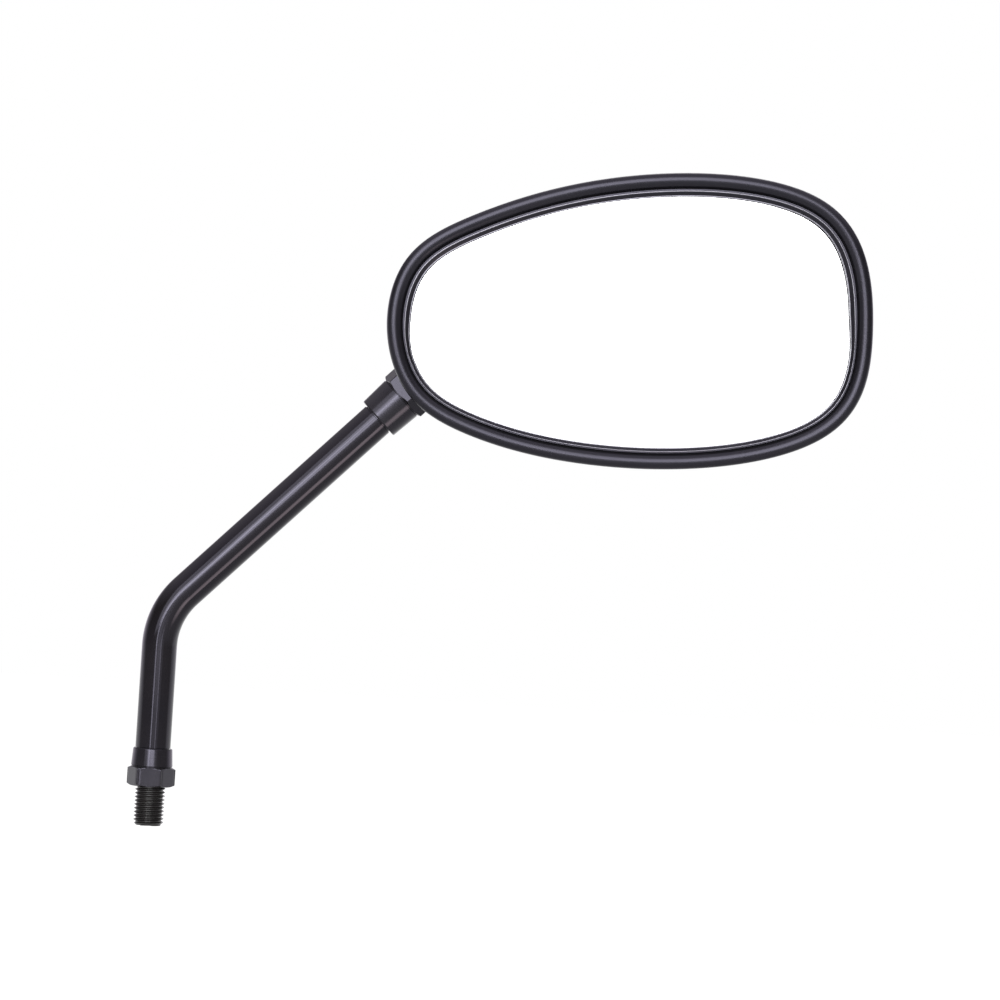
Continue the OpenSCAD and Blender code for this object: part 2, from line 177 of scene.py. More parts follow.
def loft(name, rings, closed=False):
    """Circle primitive extruded from ring to ring, with its ends joined if closed and filled if not."""
    bpy.ops.object.select_all(action="DESELECT")
    bpy.ops.mesh.primitive_circle_add(vertices=len(rings[0]), radius=MM)
    ob = bpy.context.object
    ob.name = name
    ob.data.name = name
    for v, p in zip(ob.data.vertices, rings[0]):
        v.co = p
    bpy.ops.object.mode_set(mode="EDIT")
    bpy.ops.mesh.select_mode(type="EDGE")
    bpy.ops.mesh.select_all(action="SELECT")
    if not closed:
        bpy.ops.mesh.edge_face_add()
        bpy.ops.mesh.select_all(action="SELECT")
    last = rings[0]
    for ring in rings[1:]:
        bpy.ops.mesh.extrude_edges_move()
        bm = bmesh.from_edit_mesh(ob.data)
        fresh = [v for v in bm.verts if v.select]
        tree = KDTree(len(fresh))
        for k, v in enumerate(fresh):
            tree.insert(v.co, k)
        tree.balance()
        for old, new in zip(last, ring):
            fresh[tree.find(old)[1]].co = new
        last = ring
    if closed:
        bpy.ops.mesh.select_all(action="SELECT")
        bpy.ops.mesh.remove_doubles(threshold=LOFT_MERGE)
    else:
        bpy.ops.mesh.edge_face_add()
    bpy.ops.mesh.select_all(action="SELECT")
    bpy.ops.mesh.normals_make_consistent(inside=False)
    bpy.ops.object.mode_set(mode="OBJECT")
    return ob


def carve(ob, tool):
    """Cuts a closed tool out of a piece and throws the tool away."""
    mod = ob.modifiers.new("carve", "BOOLEAN")
    mod.operation = "DIFFERENCE"
    mod.solver = "EXACT"
    mod.object = tool
    apply_all(ob)
    bpy.data.objects.remove(tool)


def smooth(ob, angle):
    """Smooth shading up to an angle between faces."""
    select_only(ob)
    bpy.ops.object.shade_smooth_by_angle(angle=math.radians(angle))


def dress(ob, body, slot, material, *replaced):
    """Gives a piece its material, its body and the nodes that it stands for."""
    ob.data.materials.clear()
    ob.data.materials.append(material)
    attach(ob, body)
    if replaced:
        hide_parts(*replaced)


# Materials

def new_group(name, inputs, outputs):
    """Empty shader group with named sockets, and its two end nodes."""
    tree = bpy.data.node_groups.new(name, "ShaderNodeTree")
    for label, kind, value in inputs:
        socket = tree.interface.new_socket(label, in_out="INPUT", socket_type=kind)
        if value is not None:
            socket.default_value = value
    for label, kind in outputs:
        tree.interface.new_socket(label, in_out="OUTPUT", socket_type=kind)
    return tree, tree.nodes.new("NodeGroupInput"), tree.nodes.new("NodeGroupOutput")


def feed(tree, source, socket):
    """Puts a value in a socket, or joins another node's output to it."""
    if isinstance(source, bpy.types.NodeSocket):
        tree.links.new(source, socket)
    else:
        socket.default_value = source


def noise(tree, scale, detail, vector):
    node = tree.nodes.new("ShaderNodeTexNoise")
    node.inputs["Detail"].default_value = detail
    feed(tree, scale, node.inputs["Scale"])
    feed(tree, vector, node.inputs["Vector"])
    return node.outputs["Fac"]


def ramp(tree, value, span, low, high):
    """A value carried from a span of its own to a range between two values."""
    node = tree.nodes.new("ShaderNodeMapRange")
    for source, label in ((span[0], "From Min"), (span[1], "From Max"), (low, "To Min"), (high, "To Max")):
        feed(tree, source, node.inputs[label])
    feed(tree, value, node.inputs["Value"])
    return node.outputs["Result"]


def reckon(tree, operation, first, second):
    """Math node over two values."""
    node = tree.nodes.new("ShaderNodeMath")
    node.operation = operation
    feed(tree, first, node.inputs[0])
    feed(tree, second, node.inputs[1])
    return node.outputs[0]


# The Mix node has a pair of inputs for each kind of data: 2 and 3 for numbers, 6 and 7 for colours

def blend(tree, share, first, second):
    """Number between two numbers."""
    node = tree.nodes.new("ShaderNodeMix")
    feed(tree, share, node.inputs[0])
    feed(tree, first, node.inputs[2])
    feed(tree, second, node.inputs[3])
    return node.outputs[0]


def blend_colours(tree, share, first, second):
    """Colour between two colours."""
    node = tree.nodes.new("ShaderNodeMix")
    node.data_type = "RGBA"
    feed(tree, share, node.inputs[0])
    feed(tree, first, node.inputs[6])
    feed(tree, second, node.inputs[7])
    return node.outputs[2]


NOISE_SPAN = (0.3, 0.7)
WAVE_HEIGHT = 0.1 * MM
GRAIN_HEIGHT = 0.02 * MM


def bump(tree, strength, height, distance):
    node = tree.nodes.new("ShaderNodeBump")
    node.inputs["Distance"].default_value = distance
    feed(tree, strength, node.inputs["Strength"])
    feed(tree, height, node.inputs["Height"])
    return node


def surface_group():
    """Uneven colour and gloss, and a bump of waves and grain, for moulded and coated surfaces."""
    tree, start, end = new_group(
        "uneven_surface",
        [
            ("Vector", "NodeSocketVector", None),
            ("Colour", "NodeSocketColor", (0.5, 0.5, 0.5, 1)),
            ("Worn Colour", "NodeSocketColor", (0.5, 0.5, 0.5, 1)),
            ("Patch Scale", "NodeSocketFloat", 60.0),
            ("Grain Scale", "NodeSocketFloat", 4000.0),
            ("Wave Scale", "NodeSocketFloat", 500.0),
            ("Rough Low", "NodeSocketFloat", 0.3),
            ("Rough High", "NodeSocketFloat", 0.4),
            ("Grain", "NodeSocketFloat", 0.1),
            ("Wave", "NodeSocketFloat", 0.1),
        ],
        [
            ("Colour", "NodeSocketColor"),
            ("Roughness", "NodeSocketFloat"),
            ("Normal", "NodeSocketVector"),
        ],
    )
    put = tree.links.new
    vector = start.outputs["Vector"]
    patch = noise(tree, start.outputs["Patch Scale"], 3, vector)
    grain = noise(tree, start.outputs["Grain Scale"], 2, vector)
    wave = noise(tree, start.outputs["Wave Scale"], 1, vector)
    tone = ramp(tree, patch, NOISE_SPAN, 0.0, 1.0)
    gloss = ramp(tree, patch, NOISE_SPAN, start.outputs["Rough Low"], start.outputs["Rough High"])
    colour = blend_colours(tree, tone, start.outputs["Colour"], start.outputs["Worn Colour"])
    put(colour, end.inputs["Colour"])
    put(gloss, end.inputs["Roughness"])
    coarse = bump(tree, start.outputs["Wave"], wave, WAVE_HEIGHT)
    fine = bump(tree, start.outputs["Grain"], grain, GRAIN_HEIGHT)
    put(coarse.outputs["Normal"], fine.inputs["Normal"])
    put(fine.outputs["Normal"], end.inputs["Normal"])
    return tree


UNEVEN = surface_group()


def finish_material(name, colour, worn, rough, grain, wave, scales, **shader_values):
    """Material whose colour, gloss and bump come from the uneven surface."""
    material = bpy.data.materials.new(name)
    material.use_nodes = True
    tree = material.node_tree
    shader = tree.nodes["Principled BSDF"]
    for label, value in shader_values.items():
        shader.inputs[label.replace("_", " ")].default_value = value
    group = tree.nodes.new("ShaderNodeGroup")
    group.node_tree = UNEVEN
    coordinate = tree.nodes.new("ShaderNodeTexCoord")
    tree.links.new(coordinate.outputs["Object"], group.inputs["Vector"])
    patch_scale, wave_scale, grain_scale = scales
    for label, value in (
        ("Colour", (*colour, 1)),
        ("Worn Colour", (*worn, 1)),
        ("Patch Scale", patch_scale),
        ("Wave Scale", wave_scale),
        ("Grain Scale", grain_scale),
        ("Rough Low", rough[0]),
        ("Rough High", rough[1]),
        ("Grain", grain),
        ("Wave", wave),
    ):
        group.inputs[label].default_value = value
    tree.links.new(group.outputs["Colour"], shader.inputs["Base Color"])
    tree.links.new(group.outputs["Roughness"], shader.inputs["Roughness"])
    tree.links.new(group.outputs["Normal"], shader.inputs["Normal"])
    return material


# Scales of the patches, waves and grain
SCALES = (55.0, 420.0, 4200.0)
SHELL_SCALES = (30.0, 260.0, 1700.0)
FOAM_SCALES = (300.0, 900.0, 2500.0)
VIOLET = (0.82, 0.79, 1, 1)
PAINT = finish_material(
    "black_paint", (0.0075, 0.0065, 0.0075), (0.011, 0.0095, 0.010), (0.09, 0.13), 0.01, 0.05, SCALES,
    Specular_IOR_Level=0.5, Specular_Tint=VIOLET,
)
PLATING = finish_material(
    "black_plating", (0.0105, 0.010, 0.0115), (0.018, 0.0165, 0.0175), (0.13, 0.19), 0.1, 0.06, SCALES,
    Specular_IOR_Level=0.55, Specular_Tint=VIOLET,
)
THREAD = finish_material(
    "oiled_thread", (0.007, 0.0065, 0.0065), (0.014, 0.012, 0.012), (0.2, 0.3), 0.3, 0.05, SCALES,
    Specular_IOR_Level=0.75,
)
BEZEL = finish_material(
    "bezel_satin", (0.0095, 0.009, 0.011), (0.0125, 0.012, 0.0145), (0.26, 0.3), 0.08, 0.03, SCALES,
    Specular_IOR_Level=0.5, Specular_Tint=VIOLET,
)
SHELL = finish_material(
    "shell_satin", (0.011, 0.0105, 0.012), (0.016, 0.0155, 0.018), (0.32, 0.4), 0.7, 0.05, SHELL_SCALES,
    Specular_IOR_Level=0.5, Specular_Tint=VIOLET,
)
# Grey metal for the fine edges of the black plastic lip: a painted highlight, far brighter than the lip's
# own plastic
LIP_PAINTED_SHEEN = finish_material(
    "lip_edge_painted_sheen", (0.23, 0.225, 0.26), (0.27, 0.265, 0.30), (0.3, 0.36), 0.1, 0.03, SCALES, Metallic=1.0,
)
STEEL = finish_material(
    "turned_steel", (0.5, 0.5, 0.51), (0.6, 0.6, 0.6), (0.22, 0.34), 0.25, 0.05, SCALES, Metallic=1.0,
)
ZINC = finish_material(
    "zinc_plate", (0.55, 0.55, 0.52), (0.66, 0.66, 0.63), (0.3, 0.45), 0.3, 0.05, SCALES, Metallic=1.0,
)
NYLON = finish_material(
    "nylon", (0.72, 0.71, 0.66), (0.78, 0.77, 0.72), (0.4, 0.5), 0.3, 0.05, SCALES,
    Subsurface_Weight=0.1,
)
FOAM = finish_material(
    "foam", (0.035, 0.035, 0.036), (0.06, 0.06, 0.062), (0.85, 0.95), 1.0, 0.8, FOAM_SCALES,
)
INNER = finish_material(
    "inner_plastic", (0.025, 0.025, 0.026), (0.035, 0.035, 0.036), (0.5, 0.62), 0.6, 0.05, SCALES,
)
GLASS = finish_material(
    "silvered_glass", (0.93, 0.94, 0.95), (0.95, 0.955, 0.96), (0.015, 0.03), 0.0, 0.0, SCALES,
    Metallic=1.0,
)


# Lock nuts

# Width across the flats, heights, radii of the skirt's ends and of the bore, and turn in degrees
BASE_NUT = {
    "af": 14, "hex_h": 6.5, "skirt_len": 6.2, "tip_r": 6.55, "root_r": 6.9, "bore_r": 4.65, "turn": 58,
}
UPPER_NUT = {
    "af": 16, "hex_h": 7, "skirt_len": 10.4, "tip_r": 7.55, "root_r": 7.95, "bore_r": 4.05, "turn": 14,
}
UPPER_NUT_FACE = 114.2
RECESS_STEP = 0.6
SKIRT_IN_R = ROD_R + 0.2
HEX_BEVEL = 1.35
CORNER_R = 0.45
BORE_CHAMFER = 0.35
SKIRT_CHAMFER = 0.3
SKIRT_BEVEL = 0.1
# Start of the bevel, as changes of radius and heights, and the heights that carry on its slope
BEVEL_START = ((-0.2, 0), (-0.05, 0.04))
BEVEL_HEIGHTS = (0.08, 0.16, 0.24, 0.32, 0.4, 0.5, 0.6, 0.7, 0.9)
BEVEL_SLOPE = 2
# Undercut below the hexagon and round end of the skirt, as changes of radius and height
UNDERCUT = ((0.05, 0), (-0.2, 0.03), (-0.2, 0.2), (0, 0.4))
ROUND_TIP = ((0, -0.5), (-0.04, -0.28), (-0.15, -0.1), (-0.35, 0))
# Directions of the points on one side of the hexagon, closer together by the corners
SIDE_ANGLES = (0, 0.5, 1, 1.6, 3, 6, 10, 14, 18, 22, 26, 30, 34, 38, 42, 46, 50, 54, 57, 58.4, 59, 59.5)


def hexagon_radius(af, angle):
    """Distance from the middle to the side of a hexagon with rounded corners."""
    apothem = af / 2
    off = (angle + math.pi / 6) % (math.pi / 3) - math.pi / 6
    side = apothem / math.cos(off)
    centre = (apothem - CORNER_R) / math.cos(math.pi / 6)
    aside = math.pi / 6 - abs(off)
    reach = centre * math.sin(aside)
    if reach >= CORNER_R:
        return side
    return min(side, centre * math.cos(aside) + math.sqrt(CORNER_R ** 2 - reach ** 2))


def nut_ring(place, nut, z, radius):
    """Section of a nut at a height: its hexagon cut to a round limit."""
    ring = []
    for side in range(6):
        for aside in SIDE_ANGLES:
            reach = min(hexagon_radius(nut["af"], math.radians(aside - 30)), radius)
            turned = math.radians(60 * side + aside + nut["turn"])
            ring.append((place @ Vector((reach * math.cos(turned), reach * math.sin(turned), z))) * MM)
    return ring


def make_nut(name, nut, place, body, node):
    """Bevelled hexagon with an undercut and a tapered skirt, bored and recessed inside."""
    high = nut["hex_h"]
    tip = high + nut["skirt_len"]
    bore_r = nut["bore_r"]
    face_r = nut["af"] / math.sqrt(3) - HEX_BEVEL
    bevel = [(face_r + change, z) for change, z in BEVEL_START]
    bevel += [(face_r + BEVEL_SLOPE * z, z) for z in BEVEL_HEIGHTS]
    profile = [(bore_r + BORE_CHAMFER, 0)] + bevel
    profile += [(radius, high - z) for radius, z in reversed(bevel)]
    profile += [(nut["root_r"] + change, high + z) for change, z in UNDERCUT]
    profile += [(nut["tip_r"] + change, tip + z) for change, z in ROUND_TIP]
    profile += [
        (SKIRT_IN_R + SKIRT_BEVEL, tip),
        (SKIRT_IN_R, tip - SKIRT_CHAMFER),
        (SKIRT_IN_R, high + RECESS_STEP),
        (bore_r, high + RECESS_STEP),
        (bore_r, BORE_CHAMFER),
        (bore_r + BORE_CHAMFER, 0),
    ]
    ob = loft(name, [nut_ring(place, nut, z, radius) for radius, z in profile], closed=True)
    smooth(ob, 28)
    weighted = ob.modifiers.new("weighted", "WEIGHTED_NORMAL")
    weighted.keep_sharp = True
    apply_all(ob)
    dress(ob, body, "nut_plating", PLATING, node)


# Rod and thread

STEPS = 72
BEND_STEPS = 28
NECK_START = 0.05
# Fine lines round the rod at the ends of the skirts, as depths and places along it
BASE_LINE = ((0, -0.1), (0.32, 0), (0.32, 0.2), (0, 0.3))
UPPER_LINE = ((0, -0.46), (0.32, -0.36), (0.32, 0), (0, 0.1))
# Form of the thread over one pitch, as shares of the pitch and of the depth
THREAD_FORM = ((0.12, 0), (0.44, 1), (0.56, 1), (0.88, 0), (1, 0))
THREAD_TOP = 0.05
MERGE = 0.003 * MM


def make_rod():
    """Round bar from its neck through the bend to the bored end under the upper nut."""
    tangent = BEND_R * math.tan(BEND_ANGLE / 2)
    upright = Matrix.Identity(4)
    rings = [
        round_ring(upright, MESH_R, NECK_START, STEPS),
        round_ring(upright, MESH_R, NECK_Z, STEPS),
        round_ring(upright, ROD_R, NECK_Z, STEPS),
    ]
    base_tip = BASE_NUT["hex_h"] + BASE_NUT["skirt_len"]
    rings += [round_ring(upright, ROD_R - drop, base_tip + along, STEPS) for drop, along in BASE_LINE]
    centre = Vector((BEND_R, 0, BEND_HEIGHT - tangent))
    for k in range(BEND_STEPS + 1):
        turn = Matrix.Rotation(BEND_ANGLE * k / BEND_STEPS, 4, "Y")
        place = Matrix.Translation(centre) @ turn @ Matrix.Translation((-BEND_R, 0, 0))
        rings.append(round_ring(place, ROD_R, 0, STEPS))
    upper_tip = UPPER_NUT_FACE - UPPER_NUT["hex_h"] - UPPER_NUT["skirt_len"]
    rings += [round_ring(ON_ROD, ROD_R - drop, upper_tip + along, STEPS) for drop, along in UPPER_LINE]
    rings += [
        round_ring(ON_ROD, ROD_R, ROD_REACH, STEPS),
        round_ring(ON_ROD, BORE_R, ROD_REACH, STEPS),
        round_ring(ON_ROD, BORE_R, ROD_REACH - BORE_DEPTH, STEPS),
    ]
    ob = loft("rod", rings)
    smooth(ob, 30)
    dress(ob, "stem", "stem_paint", PAINT, "stem")


def make_thread():
    """Thread form screwed round the stud's axis, cut flat at both ends and chamfered."""
    root = STUD_R - THREAD_DEPTH
    turns = math.ceil(STUD_LEN / THREAD_PITCH) + 2
    low = -(turns - 1) * THREAD_PITCH
    bpy.ops.object.select_all(action="DESELECT")
    bpy.ops.mesh.primitive_plane_add(size=MM)
    ob = bpy.context.object
    ob.name = "stud_thread"
    bpy.ops.object.mode_set(mode="EDIT")
    bpy.ops.mesh.select_mode(type="VERT")
    bpy.ops.mesh.select_all(action="SELECT")
    bpy.ops.mesh.merge(type="CENTER")
    bpy.ops.transform.translate(value=(root * MM, 0, low * MM))
    at = (0.0, root)
    for turn in range(turns):
        for share, depth in THREAD_FORM:
            to = (turn + share, root + THREAD_DEPTH * depth)
            rise = (to[0] - at[0]) * THREAD_PITCH
            bpy.ops.mesh.extrude_region_move(
                TRANSFORM_OT_translate={"value": ((to[1] - at[1]) * MM, 0, rise * MM)}
            )
            at = to
    bpy.ops.object.mode_set(mode="OBJECT")
    screw = ob.modifiers.new("screw", "SCREW")
    screw.screw_offset = THREAD_PITCH * MM
    screw.steps = STEPS
    screw.render_steps = STEPS
    screw.use_merge_vertices = True
    screw.merge_threshold = MERGE
    apply_all(ob)
    bpy.ops.object.mode_set(mode="EDIT")
    bpy.ops.mesh.select_all(action="SELECT")
    bpy.ops.mesh.remove_doubles(threshold=MERGE)
    for height, facing in ((-STUD_LEN, -1), (THREAD_TOP, 1)):
        bpy.ops.mesh.select_all(action="SELECT")
        bpy.ops.mesh.bisect(
            plane_co=(0, 0, height * MM), plane_no=(0, 0, facing), use_fill=True, clear_outer=True
        )
    bpy.ops.mesh.select_all(action="SELECT")
    bpy.ops.mesh.normals_make_consistent(inside=False)
    bpy.ops.object.mode_set(mode="OBJECT")
    for v in ob.data.vertices:
        radius = math.hypot(v.co.x, v.co.y)
        limit = (STUD_R - STUD_CHAMFER) * MM + (v.co.z + STUD_LEN * MM)
        if radius > limit:
            v.co.x *= limit / radius
            v.co.y *= limit / radius
    smooth(ob, 35)
    dress(ob, "stem", "stem_paint", THREAD)


# Bezel and glass

BEAD_D = 5.2
BEAD_SKEW = 0.25
GROOVE_W = 0.55
GROOVE_DEPTH = 0.7
LIP_W = 0.55
LIP_SETBACK = 0.7
LIP_EDGE_R = 0.22
LIP_RIM_R = 0.24
LIP_SLOPE_W = 1.5
LIP_END = BEAD_D + GROOVE_W + LIP_W + LIP_SLOPE_W
LIP_NARROWING = 0.8
LIP_SLOPE_H = 1.0
LIP_EDGE_T = 0.7
BEAD_STEPS = 24
BEAD_SWEEP = 165
LIP_STEPS = 10
LIP_SWEEP = 150
BACK_CHAMFER = 0.15
# The lip is narrower below this height, and the change takes this much height
NARROW_BELOW = 2
NARROW_FADE = 12
EDGE_STEPS = 8
EDGE_SINK = 0.5
EDGE_RISE = 0.62
GLASS_INSET = 5.7
GLASS_R = 1400
GLASS_T = 1.8
GLASS_CHAMFER = 0.3
GLASS_RINGS = 16
GAP = 0.2
PLATE_T = 1.5
PLATE_INSET = 3


def bezel_profile():
    """Section of the bezel as insets from the outside and depths."""
    crest = FRONT_Y + LIP_SETBACK
    edge = crest + LIP_SLOPE_H
    under = edge + LIP_EDGE_T
    start = BEAD_D + GROOVE_W
    plate = RIM_Y - PLATE_T
    bead_r = BEAD_D / 2
    lip_r = LIP_W / 2
    profile = [(BACK_CHAMFER, RIM_Y), (0, RIM_Y - BACK_CHAMFER)]
    for k in range(BEAD_STEPS + 1):
        a = math.radians(180 - BEAD_SWEEP * k / BEAD_STEPS)
        inset = bead_r + bead_r * math.cos(a) - BEAD_SKEW * math.sin(a)
        profile.append((inset, FRONT_Y + bead_r - bead_r * math.sin(a)))
    profile += [(BEAD_D + GROOVE_W / 4, crest + GROOVE_DEPTH), (start, crest + GROOVE_DEPTH)]
    for k in range(LIP_STEPS + 1):
        a = math.radians(180 - LIP_SWEEP * k / LIP_STEPS)
        profile.append((start + lip_r + lip_r * math.cos(a), crest + lip_r - lip_r * math.sin(a)))
    profile += [
        (LIP_END, edge),
        (LIP_END, under),
        (GLASS_INSET - GAP, under),
        (GLASS_INSET - GAP, plate - GAP / 2),
        (PLATE_INSET - GAP, plate - GAP / 2),
        (PLATE_INSET - GAP, RIM_Y),
    ]
    return profile


def lip_share(p):
    """How much of the lip's narrowing a point gets: none above the middle, all of it further down."""
    return min(max((NARROW_BELOW - p.y) / NARROW_FADE, 0), 1)


def bezel_ring_at(inset, y):
    """Ring of the bezel, with what lies inside the bead nearer the outside along the foot."""
    past = min(max(inset - BEAD_D, 0) / (LIP_END - BEAD_D), 1)
    shift = past * LIP_NARROWING
    return head_ring([p + n * shift * lip_share(p) for p, n in zip(inset_outline(inset), OUTWARD)], y)


def make_bezel():
    profile = bezel_profile()
    rings = [bezel_ring_at(inset, y) for inset, y in profile + profile[:1]]
    ob = loft("bezel_ring", rings, closed=True)
    smooth(ob, 38)
    dress(ob, "head", "bezel_plastic", BEZEL, "bezel")


def make_fine_edge(name, middle, radius, front):
    """Fine edge that runs round the lip at an inset, in grey metal that paints a highlight on the black
    lip.
    """
    rings = []
    for k in range(EDGE_STEPS + 1):
        a = TURN * k / EDGE_STEPS
        depth = front + radius * (EDGE_SINK - EDGE_RISE * math.sin(a))
        rings.append(bezel_ring_at(middle + radius * math.cos(a), depth))
    ob = loft(name, rings, closed=True)
    smooth(ob, 60)
    dress(ob, "head", "bezel_plastic", LIP_PAINTED_SHEEN)


def make_glass():
    """Convex silvered glass with a ground edge."""
    edge = inset_outline(GLASS_INSET)
    sag = (HEAD_H / 2 - GLASS_INSET) ** 2 / (2 * GLASS_R)
    under = FRONT_Y + LIP_SETBACK + LIP_SLOPE_H + LIP_EDGE_T
    front = under + GAP / 2 - sag

    def bowed(ring, y):
        return [(AT_HEAD @ Vector((p.x, y + p.length_squared / (2 * GLASS_R), p.y))) * MM for p in ring]

    shares = [1 - k / GLASS_RINGS for k in range(GLASS_RINGS)]
    inner = [[p * s for p in edge] for s in shares]
    rings = [bowed(ring, front + GLASS_T) for ring in reversed(inner)]
    rings.append(bowed(edge, front + GLASS_CHAMFER))
    rings.append(bowed(inset_outline(GLASS_INSET + GLASS_CHAMFER), front))
    rings += [bowed(ring, front) for ring in inner[1:]]
    ob = loft("glass_lens", rings)
    smooth(ob, 30)
    dress(ob, "head", "mirror_glass", GLASS, "mirror_glass")


# Back shell

DOME_DEPTH = 37
DOME_POWER = 2.8
PEAK_SHIFT = 18
RIM_STEP = 0.4
WALL = 2.4
LEDGE_T = 2
LEDGE_W = 4.6
POCKET_STEPS = 96
NECK_STEPS = 64
DOME_STEPS = 40
CAVITY_STEPS = 24
# Angles that the domes stop at, in degrees: 90 would be the pole
DOME_END = 89.6
CAVITY_END = 87
# How far a cutting tool reaches past the surface that it opens
OVERCUT = 1


def dome_rings(inset, start, end, steps, last_angle):
    """Rings of a dome that shrink towards its deepest point, up to an angle short of the pole."""
    ring = inset_outline(inset)
    pivot = Vector((-PEAK_SHIFT, 0))
    rings = []
    for k in range(steps + 1):
        a = math.radians(last_angle * k / steps)
        scale = math.cos(a) ** (2 / DOME_POWER)
        drawn_in = [pivot + (p - pivot) * scale for p in ring]
        rings.append(head_ring(drawn_in, start + (end - start) * math.sin(a)))
    return rings


def pocket(name, grow):
    """Flared round pocket about the upper nut."""
    down = AT_BALL @ Matrix.Rotation(math.pi, 4, "X")
    start = POCKET_FLOOR - grow
    flare = POCKET_LEN * math.tan(POCKET_FLARE)
    return loft(name, [
        round_ring(down, POCKET_R + grow, start, POCKET_STEPS),
        round_ring(down, POCKET_R + grow + flare, start + POCKET_LEN, POCKET_STEPS),
    ])


def trim_front(ob, y):
    """Cuts away what lies before a plane and closes the cut."""
    select_only(ob)
    bpy.ops.object.mode_set(mode="EDIT")
    bpy.ops.mesh.select_all(action="SELECT")
    bpy.ops.mesh.bisect(plane_co=(0, y * MM, 0), plane_no=(0, 1, 0), use_fill=True, clear_inner=True)
    bpy.ops.object.mode_set(mode="OBJECT")


def make_shell():
    """Domed back shell with its wall, its pocket for the upper nut and the hole for the neck."""
    ob = loft("housing_shell", dome_rings(RIM_STEP, RIM_Y, RIM_Y + DOME_DEPTH, DOME_STEPS, DOME_END))
    mouth = inset_outline(RIM_STEP + LEDGE_W)
    cavity_rings = [head_ring(mouth, RIM_Y - OVERCUT), head_ring(mouth, RIM_Y + LEDGE_T)]
    cavity_rings += dome_rings(
        RIM_STEP + WALL, RIM_Y + LEDGE_T, RIM_Y + DOME_DEPTH - WALL, CAVITY_STEPS, CAVITY_END
    )
    cavity = loft("cavity", cavity_rings)
    outer_pocket = pocket("outer_pocket", POCKET_WALL)
    trim_front(outer_pocket, RIM_Y + LEDGE_T - POCKET_WALL)
    carve(cavity, outer_pocket)
    carve(ob, cavity)
    inner_pocket = pocket("inner_pocket", 0)
    trim_front(inner_pocket, RIM_Y + LEDGE_T)
    carve(ob, inner_pocket)
    down = AT_BALL @ Matrix.Rotation(math.pi, 4, "X")
    room = POCKET_FLOOR + OVERCUT
    carve(ob, loft("neck_room", [
        round_ring(down, NECK_ROOM_R, 0, NECK_STEPS),
        round_ring(down, NECK_ROOM_R + room * math.tan(SWING), room, NECK_STEPS),
    ]))
    smooth(ob, 28)
    dress(ob, "head", "housing_plastic", SHELL, "housing")


make_rod()
make_nut("base_nut", BASE_NUT, Matrix.Identity(4), "base_nut", "base_lock_nut")
make_nut(
    "upper_nut",
    UPPER_NUT,
    ON_ROD @ Matrix.Translation((0, 0, UPPER_NUT_FACE)) @ Matrix.Rotation(math.pi, 4, "X"),
    "upper_nut",
    "upper_lock_nut",
)
make_thread()
make_bezel()
LIP_FRONT = FRONT_Y + LIP_SETBACK
# The lip's crest and its inner rim carry the painted highlight of the grey metal finish
make_fine_edge("lip_edge_painted_sheen", BEAD_D + GROOVE_W + LIP_W / 2, LIP_EDGE_R, LIP_FRONT)
make_fine_edge("lip_rim_painted_sheen", LIP_END - LIP_RIM_R, LIP_RIM_R, LIP_FRONT + LIP_SLOPE_H - LIP_RIM_R)
make_glass()
make_shell()

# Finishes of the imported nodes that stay; the rest of them are zinc plated
CAD_FINISHES = {
    "ball_stud": STEEL,
    "ball_liner": NYLON,
    "glass_pad": FOAM,
    "backing_plate": INNER,
}
for name, node in nodes.items():
    material = CAD_FINISHES.get(name, ZINC)
    node.data.materials.clear()
    node.data.materials.append(material)


# Studio

FLOOR_Z = -0.17
FLOOR_SIZE = 9
FLOOR_TONE = 0.36
FLOOR_WHITE = 0.9
# How far back the floor's glow grows, and the glow at the part and there
FLOOR_SPAN = (0, 0.65)
FLOOR_GLOW = (0.22, 0.9)
# The world in reflections: directions between which each part of it grows or fades, and its strengths
BACK_SPAN = (0.05, 0.6)
BACK_LIGHT = (0.2, 1.25)
FADE_SPAN = (0.06, 0.35)
FADE_TO = 0.28
ABOVE_SPAN = (0.3, 0.75)
ABOVE_LIGHT = 0.75
SOFT_FILL = 0.34
WHITE = (1, 1, 1, 1)
MIRRORED_TINT = (0.96, 0.9, 1, 1)


def seen_white(tree, path):
    """One for what the camera sees, straight or through a clear surface, and nothing for the rest."""
    return reckon(tree, "MAXIMUM", path.outputs["Is Camera Ray"], path.outputs["Is Transmission Ray"])


def split_coordinate(tree, label):
    """Sockets of the three parts of a coordinate."""
    coordinate = tree.nodes.new("ShaderNodeTexCoord")
    split = tree.nodes.new("ShaderNodeSeparateXYZ")
    tree.links.new(coordinate.outputs[label], split.inputs[0])
    return split.outputs


def stage_material(name, tone, white):
    """Matt grey that adds white for the camera, and a glow that grows to the back for reflections."""
    material = bpy.data.materials.new(name)
    material.use_nodes = True
    tree = material.node_tree
    tree.nodes.clear()
    out = tree.nodes.new("ShaderNodeOutputMaterial")
    matt = tree.nodes.new("ShaderNodeBsdfDiffuse")
    matt.inputs["Color"].default_value = (tone, tone, tone, 1)
    light = tree.nodes.new("ShaderNodeEmission")
    path = tree.nodes.new("ShaderNodeLightPath")
    glow = ramp(tree, split_coordinate(tree, "Object")["Y"], FLOOR_SPAN, *FLOOR_GLOW)
    mirrored = reckon(tree, "MULTIPLY", path.outputs["Is Glossy Ray"], glow)
    straight = reckon(tree, "MULTIPLY", seen_white(tree, path), white)
    tree.links.new(reckon(tree, "ADD", mirrored, straight), light.inputs["Strength"])
    add = tree.nodes.new("ShaderNodeAddShader")
    tree.links.new(matt.outputs[0], add.inputs[0])
    tree.links.new(light.outputs[0], add.inputs[1])
    tree.links.new(add.outputs[0], out.inputs["Surface"])
    return material


